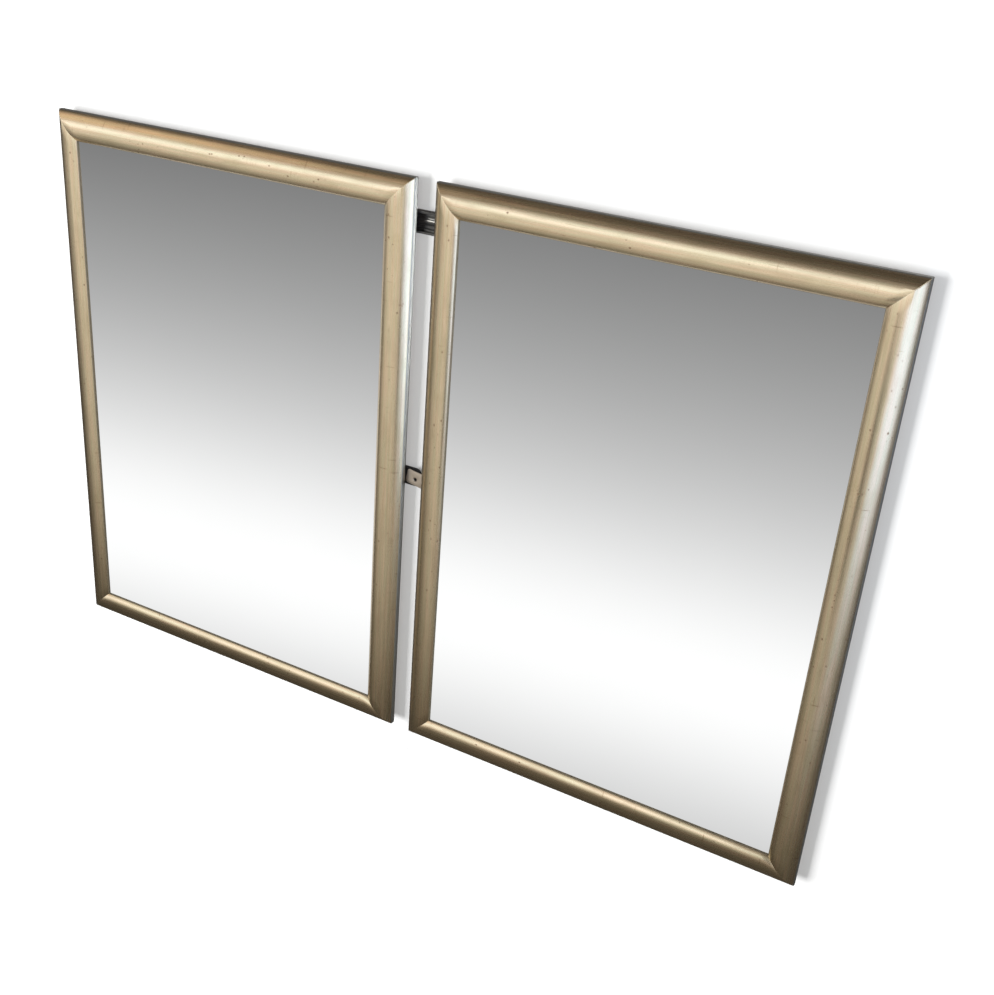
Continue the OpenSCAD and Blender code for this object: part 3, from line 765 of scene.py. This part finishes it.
def flag(name, colour):
    """A card that only soft reflections see, from its front."""
    material = bpy.data.materials.new(name)
    material.use_nodes = True
    shop = Shop(material.node_tree)
    shop.tree.nodes.clear()
    path = shop.make("ShaderNodeLightPath")
    hidden = shop.make("ShaderNodeNewGeometry").out("Backfacing")
    for ray in ("Is Camera Ray", "Is Singular Ray", "Is Shadow Ray"):
        hidden = shop.math("MAXIMUM", hidden, path.out(ray))
    light = shop.make("ShaderNodeEmission", in_Color=colour, in_Strength=1.0)
    clear = shop.make("ShaderNodeBsdfTransparent")
    both = shop.make("ShaderNodeMixShader", in_0=hidden, in_1=light, in_2=clear)
    shop.make("ShaderNodeOutputMaterial", in_Surface=both)
    return material


CARD_Y = -1.25
CARD_LEFT, CARD_RIGHT, CARD_TOP = 0.64, 1.02, -0.3
plane("dark_card", [(CARD_RIGHT, CARD_Y, FLOOR_Z), (CARD_LEFT, CARD_Y, FLOOR_Z),
                    (CARD_LEFT, CARD_Y, CARD_TOP), (CARD_RIGHT, CARD_Y, CARD_TOP)],
      flag("dark_card", (0.10, 0.09, 0.07, 1)))


def lit_set(name, pieces, state):
    """A set that makes a lamp light only some pieces, or everything but them."""
    made = bpy.data.collections.new(name)
    for row in pieces:
        made.objects.link(row)
    for row in made.collection_objects:
        row.light_linking.link_state = state
    return made


def named(*names):
    return [bpy.data.objects[name] for name in names]


ONLY_STAGE = lit_set("only_stage", [wall, floor], "INCLUDE")
NOT_STAGE = lit_set("not_stage", [wall, floor], "EXCLUDE")
EDGE = lit_set("edge", named("left_inner_stile_moulding"), "INCLUDE")
FOOT = lit_set("foot", named("left_bottom_rail_moulding", "right_bottom_rail_moulding"), "INCLUDE")
CHANNEL = lit_set("channel", named("track_channel_eased"), "INCLUDE")
SLIDE = lit_set("slide", named("track_channel_eased", "left_runner_eased", "right_runner_eased",
                               "left_middle_member_eased", "right_middle_member_eased"),
                "EXCLUDE")


def lamp(name, at, aim, size, power, colour=(1, 1, 1), lights=NOT_STAGE):
    """A soft rectangular lamp that the camera itself doesn't see."""
    data = bpy.data.lights.new(name, "AREA")
    data.shape = "RECTANGLE"
    data.size, data.size_y = size
    data.energy = power
    data.color = colour
    made = bpy.data.objects.new(name, data)
    made.location = at
    made.rotation_euler = (Vector(aim) - Vector(at)).to_track_quat("-Z", "Y").to_euler()
    made.visible_camera = False
    made.light_linking.receiver_collection = lights
    bpy.context.scene.collection.objects.link(made)
    return made


lamp("back_lamp", (0.6, 3.0, 2.0), (0, 0, -0.5), (2.5, 2.5), 60)

# One broad lamp far to the left front casts the leaves' shadow on the stage
shadow_lamp = lamp("shadow_lamp", (-12.7, -14.0, -2.6), (-12.7, 0, -2.6), (11.2, 12.2), 14500,
                   lights=ONLY_STAGE)
shadow_lamp.visible_glossy = False

# Cool light on the left leaf's inner edge: one lamp from behind, through the gap and past the
# slide, and one from the right. The first lies behind the wall paper, which only shadow rays
# pass, so that it is sampled as a lamp alone.
edge_lamp = lamp("edge_lamp", (1.35, 1.25, -0.5), (-0.02, -0.02, -0.2), (1.9, 1.0), 14,
                 (0.92, 0.97, 1.0), EDGE)
edge_lamp.data.cycles.use_multiple_importance_sampling = False
edge_lamp.light_linking.blocker_collection = SLIDE
lamp("side_lamp", (0.98, -0.40, -0.45), (-0.02, -0.03, -0.2), (0.22, 0.9), 1.3,
     (0.55, 0.76, 1.0), EDGE)

lamp("foot_lamp", (-0.85, -1.65, 0.30), (0, 0, -1.03), (2.3, 0.75), 3.6, (1.0, 0.98, 0.94), FOOT)
lamp("channel_lamp", (-1.6, -3.0, 0.6), (0, 0, 0), (1.9, 0.8), 140, (1.0, 0.96, 0.86), CHANNEL)


WARM_WAY = Vector((-0.715, -0.36, 0.60)).normalized()


def world():
    """Surroundings: white to the camera, a grey sky to the glass, and to the rest dark above,
    with a bright band above eye level and a warm patch high on the left."""
    made = bpy.data.worlds.new("surroundings")
    made.use_nodes = True
    shop = Shop(made.node_tree)
    shop.tree.nodes.clear()
    way = shop.make("ShaderNodeTexCoord").out("Generated")
    up = shop.split(way).out("Z")
    path = shop.make("ShaderNodeLightPath")
    shade = shop.make("ShaderNodeValToRGB", in_Fac=up, stops=[
        (0.0, (1.0, 0.97, 0.92)), (0.10, (1.25, 1.22, 1.12)), (0.20, (1.9, 2.05, 2.15)),
        (0.35, (1.85, 2.0, 2.1)), (0.48, (0.74, 0.72, 0.66)), (0.60, (0.27, 0.24, 0.20)),
        (0.74, (0.13, 0.105, 0.08)), (1.0, (0.06, 0.048, 0.036))])
    aim = shop.make("ShaderNodeVectorMath", out="Value", operation="DOT_PRODUCT", in_0=way,
                    in_1=WARM_WAY)
    shade = blend(shop, aim.between(0.96, 0.993), shade, (1.25, 1.0, 0.72, 1))
    mirrored = shop.make("ShaderNodeValToRGB", in_Fac=up,
                         stops=[(0.0, grey(0.19)), (0.3, grey(0.40)), (0.8, grey(0.70))])
    shade = blend(shop, path.out("Is Singular Ray"), shade, mirrored)
    light = shop.make("ShaderNodeBackground", in_Color=shade, in_Strength=1.0)
    white = shop.make("ShaderNodeBackground", in_Color=grey(1.0), in_Strength=1.0)
    both = shop.make("ShaderNodeMixShader", in_0=path.out("Is Camera Ray"), in_1=light,
                     in_2=white)
    shop.make("ShaderNodeOutputWorld", in_Surface=both)
    return made


bpy.context.scene.world = world()
bpy.context.scene.view_settings.view_transform = "Standard"

# ---- camera, solved from the corners of both leaves ----
CAMERA_AT = Vector((1.0850, -1.8300, 0.5210))
CAMERA_LOOK = Vector((-0.40422, 0.80425, -0.43565))
CAMERA_RIGHT = Vector((0.8747, 0.47914, 0.07294))
CAMERA_LENS = 45.64

camera_data = bpy.data.cameras.new("camera")
camera_data.lens = CAMERA_LENS
camera_data.sensor_width = 36
camera = bpy.data.objects.new("camera", camera_data)
back = -CAMERA_LOOK.normalized()
right = CAMERA_RIGHT.normalized()
up = back.cross(right)
turn = Matrix((right, up, back)).transposed().to_4x4()
camera.matrix_world = Matrix.Translation(CAMERA_AT) @ turn
bpy.context.scene.collection.objects.link(camera)
bpy.context.scene.camera = camera
